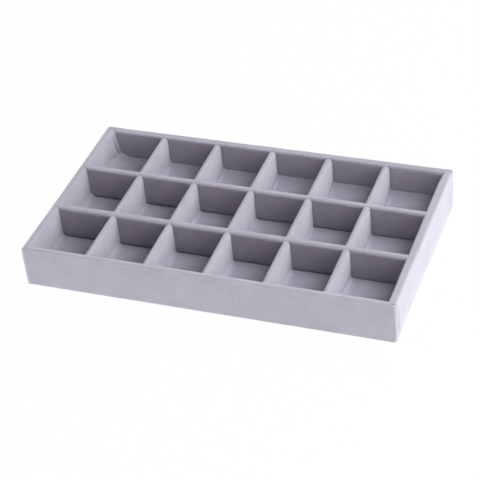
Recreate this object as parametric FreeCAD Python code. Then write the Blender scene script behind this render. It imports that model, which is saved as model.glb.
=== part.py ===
import FreeCAD
import Part
import os

# Velvet jewelry tray with a grid of open compartments, in millimetres.
# +X runs along the length, -Y is the front, +Z is up, and the origin is the middle of the underside.
# A fibreboard box is wrapped in velvet, lined with a velvet floor over thin foam, and holds a grid
# of velvet-sleeved dividers that half-lap into each other. A stiff card closes the underside.

# The whole tray, measured over the velvet
tray_length = 350.0
tray_depth = 205.0
tray_height = 40.0
columns = 6
rows = 3

# Sheet materials
velvet = 0.75
wall_board_thickness = 6.0
base_board_thickness = 3.0
floor_foam_thickness = 2.5
underside_card_thickness = 0.4

# Walls: roundings over the velvet with their limits, and the glued joints between the boards
corner_radius = 2.0
rim_outer_radius = 1.5
rim_inner_radius = 3.0
rim_limit_share = 0.45
rim_corner_share = 0.9
corner_rebate = 2.5
base_rebate = 3.0

# Velvet wraps: how far from the front and back faces the end ones butt on the rim, how far the
# front and back ones lap round onto the ends below it, and how far all turn under
rim_butt = 4.0
corner_lap = 13.0
turn_under = 14.0

# Underside card: its border inside the tray's outline, and its corners
card_border = 5.0
card_corner_radius = 3.0

# Floor lining: room at its edges, and the loose upturns where the sheet was cut too large.
# The left upturn is tightest in the front row and grows with each row. The back one's tab is lowest in
# the left column and grows with each column.
lining_clearance = 0.2
left_upturn_radius = 5.0
left_upturn_growth = 2.5
left_upturn_tab = 2.0
back_upturn_radius = 3.0
back_upturn_tab = 0.5
back_upturn_growth = 0.35

# Dividers: boards, how far their tops lie below the rim, the room in their joints, and how much
# longer the compartments beside the end walls are than the others
long_board_thickness = 5.0
cross_board_thickness = 5.5
long_drop = 0.3
cross_drop = 0.8
divider_end_clearance = 0.15
slot_clearance = 0.15
end_cell_extra = 1.8

# How far a cutting tool reaches past what it cuts, and how near a point counts as on a plane
overrun = 5.0
on_plane = 0.001

# Levels, from the table up
card_top = underside_card_thickness
board_bottom = card_top + velvet
base_top = board_bottom + base_board_thickness
foam_top = base_top + floor_foam_thickness
floor_top = foam_top + velvet
board_top = tray_height - velvet
long_top = tray_height - long_drop
cross_top = tray_height - cross_drop
rim_shoulder = tray_height - rim_outer_radius
half_lap_level = (floor_top + cross_top) / 2

# Plan sizes: the bare boards, and the inside between the wall linings
board_length = tray_length - 2 * velvet
board_depth = tray_depth - 2 * velvet
wall_thickness = wall_board_thickness + 2 * velvet
inner_length = tray_length - 2 * wall_thickness
inner_depth = tray_depth - 2 * wall_thickness

# Divider grid
long_thickness = long_board_thickness + 2 * velvet
cross_thickness = cross_board_thickness + 2 * velvet
cell_length = (inner_length - (columns - 1) * cross_thickness - 2 * end_cell_extra) / columns
cell_depth = (inner_depth - (rows - 1) * long_thickness) / rows
cross_places = [
    (cell_length + cross_thickness) * (number - columns / 2) for number in range(1, columns)
]
long_places = [(cell_depth + long_thickness) * (number - rows / 2) for number in range(1, rows)]


def block(low, high):
    """A box between its lowest and highest corner."""
    size = [b - a for a, b in zip(low, high)]
    return Part.makeBox(*size, FreeCAD.Vector(*low))


def centred_block(length, depth, bottom, top):
    """A box centred on the tray's upright axis."""
    return block((-length / 2, -depth / 2, bottom), (length / 2, depth / 2, top))


def prism(outline, bottom, top):
    """An upright prism on a plan outline."""
    corners = [FreeCAD.Vector(x, y, bottom) for x, y in outline]
    face = Part.Face(Part.makePolygon(corners + corners[:1]))
    return face.extrude(FreeCAD.Vector(0, 0, top - bottom))


def round_upright_edges(shape, radius):
    """Rounds every upright edge."""
    upright = [e for e in shape.Edges if abs(e.tangentAt(e.FirstParameter).z) > 0.5]
    return shape.makeFillet(radius, upright)


def round_edges_at(shape, level, radius):
    """Rounds every edge that lies flat at one level."""
    flat = [e for e in shape.Edges if all(abs(v.Z - level) < on_plane for v in e.Vertexes)]
    return shape.makeFillet(radius, flat)


def round_mouth(shape, length, depth, level, radius):
    """Rounds the edges of a centred rectangular opening at one level."""

    def at_corner(vertex):
        off_x = abs(abs(vertex.X) - length / 2)
        off_y = abs(abs(vertex.Y) - depth / 2)
        return max(off_x, off_y, abs(vertex.Z - level)) < on_plane

    mouth = [e for e in shape.Edges if all(at_corner(v) for v in e.Vertexes)]
    return shape.makeFillet(radius, mouth)


def mirrored(outline, along_x):
    """A plan outline reflected across the tray's middle, left to right or front to back."""
    return [(-x, y) if along_x else (x, -y) for x, y in outline]


def wall_ring(skin, bottom, cavity_bottom):
    """All four walls as one ring, a skin's thickness proud of the bare boards on every side."""
    top = board_top + skin
    growth = skin - velvet
    rim_limit = rim_limit_share * wall_thickness
    rim_outer = min(rim_outer_radius, rim_limit, rim_corner_share * corner_radius)
    rim_inner = min(rim_inner_radius, rim_limit)
    outside = centred_block(board_length + 2 * skin, board_depth + 2 * skin, bottom, top)
    outside = round_upright_edges(outside, corner_radius + growth)
    outside = round_edges_at(outside, top, rim_outer + growth)
    cavity_length = board_length - 2 * wall_board_thickness - 2 * skin
    cavity_depth = board_depth - 2 * wall_board_thickness - 2 * skin
    cavity = centred_block(cavity_length, cavity_depth, cavity_bottom, top + overrun)
    return round_mouth(outside.cut(cavity), cavity_length, cavity_depth, top, rim_inner + growth)


def base_board():
    """The fibreboard base, let into a rebate round the foot of the walls."""
    edge = 2 * (wall_board_thickness - base_rebate)
    return centred_block(board_length - edge, board_depth - edge, board_bottom, base_top)


def wall_boards():
    """Four wall boards: the front and back are rebated at their ends to take the end boards."""
    ring = wall_ring(0, board_bottom, board_bottom - overrun).cut(base_board())
    x, y = board_length / 2, board_depth / 2
    lip = y - wall_board_thickness + corner_rebate
    end_plan = [(-x, -lip), (wall_board_thickness - x, -lip), (wall_board_thickness - x, lip), (-x, lip)]
    left_tool = prism(end_plan, 0, tray_height)
    right_tool = prism(mirrored(end_plan, True), 0, tray_height)
    front_tool = block((-x, -y, 0), (x, 0, tray_height)).cut(left_tool).cut(right_tool)
    back_tool = block((-x, 0, 0), (x, y, tray_height)).cut(left_tool).cut(right_tool)
    tools = {"front": front_tool, "back": back_tool, "left": left_tool, "right": right_tool}
    return {f"{side}_wall_board": ring.common(tool) for side, tool in tools.items()}


def wall_wraps():
    """Velvet over the walls: outside, rim, inside and turned under, in four pieces.

    Inside, the pieces meet in mitres. On the rim the end pieces butt against the front and back ones,
    and below the rim the front and back ones lap round the corners onto the ends.
    """
    velvet_ring = wall_ring(velvet, card_top, base_top)
    velvet_ring = velvet_ring.cut(wall_ring(0, board_bottom, board_bottom - overrun))
    velvet_ring = velvet_ring.cut(centred_block(board_length, board_depth, board_bottom, base_top))
    window_length = tray_length - 2 * turn_under
    window_depth = tray_depth - 2 * turn_under
    window = centred_block(window_length, window_depth, card_top - overrun, board_bottom + overrun)
    velvet_ring = velvet_ring.cut(window)

    x, y = tray_length / 2, tray_depth / 2
    beyond = x + overrun
    reach = y + overrun
    above = tray_height + overrun
    mitre_start = (turn_under + overrun - x, turn_under + overrun - y)
    butt = max(rim_butt, corner_radius)
    butt_x, butt_y = butt - x, butt - y
    seam_y = corner_lap - y
    rim_half = [mitre_start, (butt_x, butt_y), (-beyond, butt_y)]
    face_half = [mitre_start, (butt_x, butt_y), (butt_x, seam_y), (-beyond, seam_y)]
    rim_plan = rim_half + mirrored(rim_half, False)[::-1]
    face_plan = face_half + mirrored(face_half, False)[::-1]
    left_tool = prism(face_plan, 0, rim_shoulder).fuse(prism(rim_plan, rim_shoulder, above))
    right_tool = left_tool.mirror(FreeCAD.Vector(0, 0, 0), FreeCAD.Vector(1, 0, 0))
    front_tool = block((-beyond, -reach, 0), (beyond, 0, above))
    back_tool = block((-beyond, 0, 0), (beyond, reach, above))
    tools = {
        "front": front_tool.cut(left_tool).cut(right_tool),
        "back": back_tool.cut(left_tool).cut(right_tool),
        "left": left_tool,
        "right": right_tool,
    }
    return {f"{side}_wall_velvet": velvet_ring.common(tool) for side, tool in tools.items()}


def underside_card():
    """The stiff card that hides the turned-under velvet and that the tray stands on."""
    length = tray_length - 2 * card_border
    depth = tray_depth - 2 * card_border
    return round_upright_edges(centred_block(length, depth, 0, card_top), card_corner_radius)


def floor_foam():
    """The thin foam sheet under the velvet floor."""
    length = inner_length - 2 * lining_clearance
    depth = inner_depth - 2 * lining_clearance
    return centred_block(length, depth, base_top, foam_top)


def cell_span(places, thickness, inner_size, number):
    """The clear span of one row or column, counted from the low side, between two dividers or walls."""
    starts = [-inner_size / 2] + [place + thickness / 2 for place in places]
    ends = [place - thickness / 2 for place in places] + [inner_size / 2]
    return starts[number] + lining_clearance, ends[number] - lining_clearance


def upturn(radius, tab, width):
    """A strip of velvet that curls up from the floor into a tab: wall at X 0, floor towards +X, along +Y."""
    centre_x = velvet + radius
    centre_z = foam_top + velvet + radius
    lean = radius / 2**0.5
    outer_lean = (radius + velvet) / 2**0.5
    tab_top = centre_z + tab

    def point(x, z):
        return FreeCAD.Vector(x, 0, z)

    def arc(start, middle, end):
        return Part.Arc(start, middle, end).toShape()

    outer_wall = point(0, centre_z)
    outer_floor = point(centre_x, foam_top)
    inner_floor = point(centre_x, floor_top)
    inner_wall = point(velvet, centre_z)
    edges = [
        arc(outer_wall, point(centre_x - outer_lean, centre_z - outer_lean), outer_floor),
        Part.makeLine(outer_floor, inner_floor),
        arc(inner_floor, point(centre_x - lean, centre_z - lean), inner_wall),
        Part.makeLine(inner_wall, point(velvet, tab_top)),
        Part.makeLine(point(velvet, tab_top), point(0, tab_top)),
        Part.makeLine(point(0, tab_top), outer_wall),
    ]
    return Part.Face(Part.Wire(edges)).extrude(FreeCAD.Vector(0, width, 0))


def floor_velvet():
    """The velvet floor sheet, curling up loosely along the left and back walls."""
    left = -inner_length / 2 + lining_clearance
    back = inner_depth / 2 - lining_clearance
    sheet = centred_block(-2 * left, 2 * back, foam_top, floor_top)
    curls = []
    for row in range(rows):
        near, far = cell_span(long_places, long_thickness, inner_depth, row)
        radius = left_upturn_radius + row * left_upturn_growth
        flat_start = left + velvet + radius
        sheet = sheet.cut(block((left, near, foam_top), (flat_start, far, floor_top)))
        curl = upturn(radius, left_upturn_tab, far - near)
        curl.translate(FreeCAD.Vector(left, near, 0))
        curls.append(curl)
    for column in range(columns):
        near, far = cell_span(cross_places, cross_thickness, inner_length, column)
        flat_end = back - velvet - back_upturn_radius
        sheet = sheet.cut(block((near, flat_end, foam_top), (far, back, floor_top)))
        tab = back_upturn_tab + column * back_upturn_growth
        curl = upturn(back_upturn_radius, tab, far - near)
        curl.rotate(FreeCAD.Vector(0, 0, 0), FreeCAD.Vector(0, 0, 1), -90)
        curl.translate(FreeCAD.Vector(near, back, 0))
        curls.append(curl)
    return sheet.fuse(curls).removeSplitter()


def strip(thickness, top, length):
    """An upright strip with a half-round top edge, standing on the floor and running along X."""
    half = thickness / 2
    shoulder = top - half

    def point(y, z):
        return FreeCAD.Vector(-length / 2, y, z)

    edges = [
        Part.makeLine(point(-half, shoulder), point(-half, floor_top)),
        Part.makeLine(point(-half, floor_top), point(half, floor_top)),
        Part.makeLine(point(half, floor_top), point(half, shoulder)),
        Part.Arc(point(half, shoulder), point(0, top), point(-half, shoulder)).toShape(),
    ]
    return Part.Face(Part.Wire(edges)).extrude(FreeCAD.Vector(length, 0, 0))


def slotted(shape, places, mate_thickness, bottom, top):
    """A strip along X with a slot at each place for the divider that crosses it there."""
    half = mate_thickness / 2 + slot_clearance
    reach = max(long_thickness, cross_thickness)
    for place in places:
        shape = shape.cut(block((place - half, -reach, bottom), (place + half, reach, top)))
    return shape


def divider(board_thickness, top, length, places, mate_thickness, slot_bottom, slot_top):
    """A divider along X through the origin: its board, and the velvet sleeve folded over it."""
    board = strip(board_thickness, top - velvet, length)
    sleeve = strip(board_thickness + 2 * velvet, top, length).cut(board)
    pieces = {"board": board, "velvet": sleeve}
    return {
        kind: slotted(piece, places, mate_thickness, slot_bottom, slot_top)
        for kind, piece in pieces.items()
    }


def long_dividers():
    """The dividers along the tray, slotted from below."""
    made = {}
    length = inner_length - 2 * divider_end_clearance
    for number, place in enumerate(long_places, 1):
        pieces = divider(
            long_board_thickness, long_top, length,
            cross_places, cross_thickness, floor_top - overrun, half_lap_level,
        )
        for kind, piece in pieces.items():
            piece.translate(FreeCAD.Vector(0, place, 0))
            made[f"long_divider_{number}_{kind}"] = piece
    return made


def cross_dividers():
    """The dividers across the tray, slotted from above."""
    made = {}
    length = inner_depth - 2 * divider_end_clearance
    for number, place in enumerate(cross_places, 1):
        pieces = divider(
            cross_board_thickness, cross_top, length,
            long_places, long_thickness, half_lap_level, cross_top + overrun,
        )
        for kind, piece in pieces.items():
            piece.rotate(FreeCAD.Vector(0, 0, 0), FreeCAD.Vector(0, 0, 1), 90)
            piece.translate(FreeCAD.Vector(place, 0, 0))
            made[f"cross_divider_{number}_{kind}"] = piece
    return made


def main():
    """Builds every piece and writes one file for each."""
    pieces = {
        "underside_card": underside_card(),
        "base_board": base_board(),
        **wall_boards(),
        **wall_wraps(),
        "floor_foam": floor_foam(),
        "floor_velvet": floor_velvet(),
        **long_dividers(),
        **cross_dividers(),
    }
    os.makedirs("parts", exist_ok=True)
    for name, shape in pieces.items():
        solids = shape.Solids
        whole = solids[0] if len(solids) == 1 else Part.makeCompound(solids)
        whole.exportStep(f"parts/{name}.step")
        volume = sum(solid.Volume for solid in solids)
        print(f"{name}: {len(solids)} solid, {volume:.0f} mm3, valid {whole.isValid()}")


main()
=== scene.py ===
"""Looks of a velvet jewelry tray, dressed round its packed construction.

All sizes are in metres. +X is the tray's right, -Y its front and +Z up.
"""

import logging
import math
from dataclasses import dataclass, field
from enum import Enum

import bmesh
import bpy
from mathutils import Matrix, Vector, noise


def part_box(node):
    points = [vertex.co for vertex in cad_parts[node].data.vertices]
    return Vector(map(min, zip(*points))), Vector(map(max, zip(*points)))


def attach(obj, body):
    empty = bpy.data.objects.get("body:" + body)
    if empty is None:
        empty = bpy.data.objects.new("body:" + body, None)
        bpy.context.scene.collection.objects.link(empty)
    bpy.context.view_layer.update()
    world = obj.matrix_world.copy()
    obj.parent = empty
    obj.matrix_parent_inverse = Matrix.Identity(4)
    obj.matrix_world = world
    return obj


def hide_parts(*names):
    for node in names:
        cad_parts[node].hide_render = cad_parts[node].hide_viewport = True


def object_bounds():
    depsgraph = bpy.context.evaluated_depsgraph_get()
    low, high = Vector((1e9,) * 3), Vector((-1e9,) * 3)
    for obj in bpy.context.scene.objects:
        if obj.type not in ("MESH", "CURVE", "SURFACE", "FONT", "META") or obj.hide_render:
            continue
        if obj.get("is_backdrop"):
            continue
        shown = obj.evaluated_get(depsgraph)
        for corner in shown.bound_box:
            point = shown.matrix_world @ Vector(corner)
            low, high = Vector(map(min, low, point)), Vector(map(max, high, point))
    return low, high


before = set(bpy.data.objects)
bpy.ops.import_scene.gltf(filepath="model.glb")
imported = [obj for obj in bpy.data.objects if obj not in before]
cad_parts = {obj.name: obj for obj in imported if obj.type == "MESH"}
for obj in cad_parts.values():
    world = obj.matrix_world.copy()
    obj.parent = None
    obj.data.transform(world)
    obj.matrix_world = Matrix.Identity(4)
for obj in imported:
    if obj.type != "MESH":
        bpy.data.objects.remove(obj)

LOG = logging.getLogger("tray")
Box = tuple[Vector, Vector]
Colour = tuple[float, float, float]
Inputs = dict[str | int, object]
Span = tuple[float, float]
Stops = tuple[Span, ...]
MM = 0.001
BODY = "root"
# Point attributes that the velvet's finish reads: painted shade, which is painted light where below 0, and
# how far a point faces up, for its painted sheen.
PAINTED_SHADING = "painted_shading"
UPWARD = "upward"
# Edges that bend more than this stay crisp.
SHARP_ANGLE = math.radians(60)
# Places closer than this count as the same.
TOUCH = 0.001 * MM
# Range of a noise texture that its patterns are stretched from.
NOISE_SPAN = (0.3, 0.7)
# Height of the loose floor sheet where it meets the back wall, from the left column to the right one.
BACK_RISE = (3.4 * MM, 3.4 * MM, 4.0 * MM, 5.2 * MM, 5.3 * MM, 5.3 * MM)


class Zone(Enum):
    """Where on a wall a line of the wrapped velvet lies."""

    UNDERSIDE = "underside"
    FACE = "face"
    RIM = "rim"
    LINING = "lining"


class Side(Enum):
    """The four walls: the way along each one, seen from outside, and the way inward."""

    FRONT = ("front", Vector((1, 0, 0)), Vector((0, 1, 0)))
    RIGHT = ("right", Vector((0, 1, 0)), Vector((-1, 0, 0)))
    BACK = ("back", Vector((-1, 0, 0)), Vector((0, -1, 0)))
    LEFT = ("left", Vector((0, -1, 0)), Vector((1, 0, 0)))

    @property
    def word(self) -> str:
        """The side's name in node names."""
        return self.value[0]

    @property
    def along(self) -> Vector:
        """The way along the wall."""
        return self.value[1]

    @property
    def inward(self) -> Vector:
        """The way from the wall's outer face into the tray."""
        return self.value[2]

    @property
    def is_long(self) -> bool:
        """True for the front and back walls, whose velvet laps round the corners."""
        return self in (Side.FRONT, Side.BACK)

    def neighbour(self, along: float) -> "Side":
        """The wall round the corner that a place along this one is nearer to."""
        order = list(Side)
        return order[(order.index(self) + (1 if along > 0 else -1)) % len(order)]


@dataclass(frozen=True)
class Fade:
    """A strength that falls off smoothly with distance.

    Attributes:
        strength: The strength at no distance.
        reach: Distance over which it falls off.
    """

    strength: float
    reach: float

    def at(self, off: float) -> float:
        """The strength at a distance."""
        return self.strength * math.exp(-((off / self.reach) ** 2))


@dataclass(frozen=True)
class TrayPlan:
    """The tray's measures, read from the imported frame.

    Attributes:
        length: Overall size along X.
        depth: Overall size along Y.
        height: Overall size along Z.
        velvet: Thickness of the velvet.
        wall: Thickness of a wall over its velvet.
        card_top: Height of the underside card's upper face.
        base_top: Height of the base board's upper face.
        floor_top: Height of the velvet floor.
        long_boxes: Lowest and highest corners of the dividers along the tray.
        cross_boxes: Lowest and highest corners of the dividers across the tray.
    """

    length: float
    depth: float
    height: float
    velvet: float
    wall: float
    card_top: float
    base_top: float
    floor_top: float
    long_boxes: list[Box]
    cross_boxes: list[Box]

    @classmethod
    def from_frame(cls) -> "TrayPlan":
        """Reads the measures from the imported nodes.

        Returns:
            The tray's plan.
        """
        low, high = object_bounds()
        board_low, board_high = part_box("left_wall_board")
        velvet = board_low.x - low.x
        return cls(
            length=high.x - low.x,
            depth=high.y - low.y,
            height=high.z - low.z,
            velvet=velvet,
            wall=board_high.x - board_low.x + 2 * velvet,
            card_top=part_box("underside_card")[1].z,
            base_top=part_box("base_board")[1].z,
            floor_top=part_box("floor_foam")[1].z + velvet,
            long_boxes=cls.numbered_boxes("long_divider"),
            cross_boxes=cls.numbered_boxes("cross_divider"),
        )

    @staticmethod
    def numbered_boxes(kind: str) -> list[Box]:
        """Boxes of the divider sleeves whose names start with a kind, in the order of their numbers."""
        names = sorted(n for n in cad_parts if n.startswith(kind) and n.endswith("velvet"))
        return [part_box(name) for name in names]

    @property
    def inner_half_length(self) -> float:
        """From the middle to the lining of an end wall."""
        return self.length / 2 - self.wall

    @property
    def inner_half_depth(self) -> float:
        """From the middle to the lining of the front or back wall."""
        return self.depth / 2 - self.wall

    @property
    def half_lap(self) -> float:
        """Height where crossing dividers rest on each other."""
        return (self.floor_top + self.cross_boxes[0][1].z) / 2

    @staticmethod
    def clear_spans(boxes: list[Box], axis: int, half: float) -> list[Span]:
        """The spans that dividers leave clear.

        Args:
            boxes: Lowest and highest corners of the dividers.
            axis: 0 for spans along X, 1 for spans along Y.
            half: From the middle to a wall's lining.

        Returns:
            Start and end of each span.
        """
        starts = [-half] + [high[axis] for _, high in boxes]
        ends = [low[axis] for low, _ in boxes] + [half]
        return list(zip(starts, ends))

    def column_spans(self) -> list[Span]:
        """Clear X spans of the columns of compartments, from the left."""
        return self.clear_spans(self.cross_boxes, 0, self.inner_half_length)

    def row_spans(self) -> list[Span]:
        """Clear Y spans of the rows of compartments, from the front."""
        return self.clear_spans(self.long_boxes, 1, self.inner_half_depth)


def even(start: float, end: float, count: int) -> list[float]:
    """Evenly spaced values from start to end, both included, with count steps between them."""
    return [start + (end - start) * step / count for step in range(count + 1)]


def clamped(value: float) -> float:
    """A value kept within 0 and 1."""
    return min(max(value, 0.0), 1.0)


def ripple(point: Vector, wavelength: float, shift: float = 0.0) -> float:
    """Smooth unevenness, about -1 to 1 and the same on every run; a shift moves its pattern."""
    return noise.noise(point / wavelength + Vector((shift, shift, shift)))


def between(stops: Stops, place: float) -> float:
    """A value read off between stops.

    Args:
        stops: Places in rising order, each with its value.
        place: The place to read.

    Returns:
        The value there; beyond the stops, that of the nearest one.
    """
    if place <= stops[0][0]:
        return stops[0][1]
    for (start, first), (end, last) in zip(stops, stops[1:]):
        if place <= end:
            return first + (last - first) * (place - start) / (end - start)
    return stops[-1][1]


def direction(azimuth: float, elevation: float) -> Vector:
    """The way from the tray to a camera or lamp.

    Args:
        azimuth: Degrees round the tray; 0 is in front, 90 on the right.
        elevation: Degrees above the table.

    Returns:
        A vector of length 1.
    """
    a, e = math.radians(azimuth), math.radians(elevation)
    return Vector((math.sin(a) * math.cos(e), -math.cos(a) * math.cos(e), math.sin(e)))


def placed(name: str, data: bpy.types.ID) -> bpy.types.Object:
    """A new object at the origin, linked to the scene.

    Args:
        name: The object's name.
        data: Its mesh, lamp or camera.

    Returns:
        The object.
    """
    made = bpy.data.objects.new(name, data)
    bpy.context.scene.collection.objects.link(made)
    return made


def mesh_object(name: str, verts: list[Vector], faces: list[tuple[int, ...]]) -> bpy.types.Object:
    """A new object from points and faces.

    Args:
        name: The object's name.
        verts: Its points.
        faces: Point numbers of each face.

    Returns:
        The object.
    """
    mesh = bpy.data.meshes.new(name)
    mesh.from_pydata([tuple(v) for v in verts], [], faces)
    return placed(name, mesh)


def store(mesh: bpy.types.Mesh, name: str, values: list[float]) -> None:
    """Stores a named value for each point of a mesh."""
    mesh.attributes.new(name, "FLOAT", "POINT").data.foreach_set("value", values)


def thicken(made: bpy.types.Object, thickness: float) -> None:
    """Gives an open surface its cloth's thickness, inward from its outer side.

    Args:
        made: The object.
        thickness: The cloth's thickness.
    """
    solid = made.modifiers.new("cloth thickness", "SOLIDIFY")
    solid.thickness = thickness
    solid.offset = -1


def bake_modifiers(made: bpy.types.Object) -> None:
    """Turns an object's modifiers into plain mesh, with soft shading and crisp cut edges.

    The mesh also keeps how far each point faces upward, which steers the velvet's painted sheen.

    Args:
        made: The object.
    """
    seen = made.evaluated_get(bpy.context.evaluated_depsgraph_get())
    mesh = bpy.data.meshes.new_from_object(seen)
    made.modifiers.clear()
    old = made.data
    made.data = mesh
    bpy.data.meshes.remove(old)
    mesh.name = made.name
    mesh.polygons.foreach_set("use_smooth", [True] * len(mesh.polygons))
    mesh.set_sharp_from_angle(angle=SHARP_ANGLE)
    store(mesh, UPWARD, [vert.normal.z for vert in mesh.vertices])


def cloth(name: str, lines: list[list[Vector]], painted_shading: list[float], thickness: float) -> bpy.types.Object:
    """A cloth laid over a grid of points.

    Args:
        name: The object's name.
        lines: Its points, line after line.
        painted_shading: Painted shade at each point, or painted light where it is below 0.
        thickness: The cloth's thickness.

    Returns:
        The object, with its thickness.
    """
    width = len(lines[0])
    faces = [
        (start, start + 1, start + width + 1, start + width)
        for line in range(len(lines) - 1)
        for start in range(line * width, line * width + width - 1)
    ]
    made = mesh_object(name, [vert for line in lines for vert in line], faces)
    store(made.data, PAINTED_SHADING, painted_shading)
    thicken(made, thickness)
    bake_modifiers(made)
    return made


def dress(
    made: bpy.types.Object, node: str, material: bpy.types.Material | None = None
) -> bpy.types.Object:
    """Puts a finished piece in its node's place.

    Args:
        made: The piece.
        node: The node that it stands for.
        material: Its finish, unless it has one already.

    Returns:
        The piece.
    """
    if material is not None:
        made.data.materials.clear()
        made.data.materials.append(material)
    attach(made, BODY)
    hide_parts(node)
    LOG.info("%s stands for %s", made.name, node)
    return made


@dataclass(frozen=True)
class Signal:
    """A node's output; sums, products and other steps with it add math nodes to its tree.

    Attributes:
        nodes: The tree that it is in.
        socket: The output.
    """

    nodes: "NodeTree"
    socket: bpy.types.NodeSocket

    def math(self, operation: str, *others: object) -> "Signal":
        """The result of a math operation on this and on other signals or plain values."""
        return self.nodes.math(operation, self, *others)

    def __add__(self, other: object) -> "Signal":
        """The sum."""
        return self.math("ADD", other)

    def __sub__(self, other: object) -> "Signal":
        """The difference."""
        return self.math("SUBTRACT", other)

    def __rsub__(self, other: float) -> "Signal":
        """A plain value less this signal."""
        return self.nodes.math("SUBTRACT", other, self)

    def __mul__(self, other: object) -> "Signal":
        """The product."""
        return self.math("MULTIPLY", other)

    def __truediv__(self, other: object) -> "Signal":
        """The quotient."""
        return self.math("DIVIDE", other)

    def within(self, low: object, high: object) -> "Signal":
        """The signal kept between two bounds."""
        return self.math("MAXIMUM", low).math("MINIMUM", high)

    def bell(self) -> "Signal":
        """1 where the signal is 0, falling off smoothly on both sides."""
        return (self * self * -1.0).math("EXPONENT")


class NodeTree:
    """Short ways to add and join nodes in a shader or geometry tree."""

    def __init__(self, tree: bpy.types.NodeTree) -> None:
        """Keeps the tree to build in."""
        self.tree = tree

    def fill(self, node: bpy.types.Node, inputs: Inputs) -> None:
        """Links or sets some of a node's inputs.

        Args:
            node: The node.
            inputs: A signal or a plain value for each input's name or number.
        """
        for key, value in inputs.items():
            if isinstance(value, Signal):
                self.tree.links.new(value.socket, node.inputs[key])
            else:
                node.inputs[key].default_value = value

    def add(self, kind: str, inputs: Inputs | None = None, **settings: object) -> bpy.types.Node:
        """A new node.

        Args:
            kind: Its type.
            inputs: What its inputs get, as for fill.
            **settings: Attributes to set on it.

        Returns:
            The node.
        """
        made = self.tree.nodes.new(kind)
        for key, value in settings.items():
            setattr(made, key, value)
        self.fill(made, inputs or {})
        return made

    def out(
        self, kind: str, output: str | int = 0, inputs: Inputs | None = None, **settings: object
    ) -> Signal:
        """One output, given by its name or number, of a new node that is made as by add."""
        return Signal(self, self.add(kind, inputs, **settings).outputs[output])

    def given(self) -> dict[str, Signal]:
        """The tree's own inputs, by name."""
        return {socket.name: Signal(self, socket) for socket in self.add("NodeGroupInput").outputs}

    def math(self, operation: str, *values: object) -> Signal:
        """The result of a math operation on signals or plain values."""
        return self.out("ShaderNodeMath", inputs=dict(enumerate(values)), operation=operation)

    def noise(self, where: object, scale: object, detail: float) -> Signal:
        """Noise, 0 to 1 about 0.5, with a scale in patches per metre and detail in octaves."""
        return self.out("ShaderNodeTexNoise", inputs={"Vector": where, "Scale": scale, "Detail": detail})

    def remap(
        self, value: Signal, start: float, end: float, low: object = 0.0, high: object = 1.0
    ) -> Signal:
        """A value that runs from low at a start to high at an end, and stays between them."""
        return self.out("ShaderNodeMapRange", inputs=dict(enumerate((value, start, end, low, high))))

    def mix(self, share: Signal, first: object, second: object) -> Signal:
        """A mix of two colours; a share of 0 gives the first, 1 the second."""
        return self.out("ShaderNodeMix", 2, {0: share, 6: first, 7: second}, data_type="RGBA")

    def tint(self, colour: object, factor: Signal) -> Signal:
        """A colour made lighter or darker by a factor."""
        return self.out("ShaderNodeVectorMath", inputs={0: colour, "Scale": factor}, operation="SCALE")


def new_material(name: str) -> tuple[bpy.types.Material, NodeTree, bpy.types.Node]:
    """Starts a material.

    Args:
        name: Its name.

    Returns:
        The material, its tree and its main shader.
    """
    made = bpy.data.materials.new(name)
    made.use_nodes = True
    return made, NodeTree(made.node_tree), made.node_tree.nodes["Principled BSDF"]


def pile_group() -> bpy.types.NodeTree:
    """The shared velvet effect: brushed nap, mottled tufts, fine pile and a little lint.

    Returns:
        A shader group with a colour and a height.
    """
    group = bpy.data.node_groups.new("velvet_pile", "ShaderNodeTree")
    group.interface.new_socket("Colour", in_out="INPUT", socket_type="NodeSocketColor")
    for name, value in (
        ("Brush Scale", 40.0),
        ("Brush Depth", 0.05),
        ("Mottle Scale", 420.0),
        ("Mottle Depth", 0.03),
        ("Pile Scale", 1500.0),
        ("Pile Depth", 0.08),
        ("Lint Scale", 70.0),
        ("Lint Size", 0.055),
        ("Lint Depth", 0.3),
    ):
        group.interface.new_socket(name, in_out="INPUT", socket_type="NodeSocketFloat").default_value = value
    group.interface.new_socket("Colour", in_out="OUTPUT", socket_type="NodeSocketColor")
    group.interface.new_socket("Height", in_out="OUTPUT", socket_type="NodeSocketFloat")
    t = NodeTree(group)
    given = t.given()
    where = t.out("ShaderNodeTexCoord", "Object")
    shaded = given["Colour"]
    height = 0.0
    for layer, share in (("Brush", 0.5), ("Mottle", 0.7), ("Pile", 1.0)):
        pattern = t.noise(where, given[f"{layer} Scale"], detail=2.0)
        depth = given[f"{layer} Depth"]
        shaded = t.tint(shaded, t.remap(pattern, *NOISE_SPAN, 1.0 - depth, depth + 1.0))
        height = pattern * share + height
    lint = t.out("ShaderNodeTexVoronoi", "Distance", {"Vector": where, "Scale": given["Lint Scale"]})
    speck = lint.math("LESS_THAN", given["Lint Size"])
    flecked = t.tint(shaded, speck * given["Lint Depth"] + 1.0)
    t.add("NodeGroupOutput", {"Colour": flecked, "Height": height})
    return group


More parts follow.
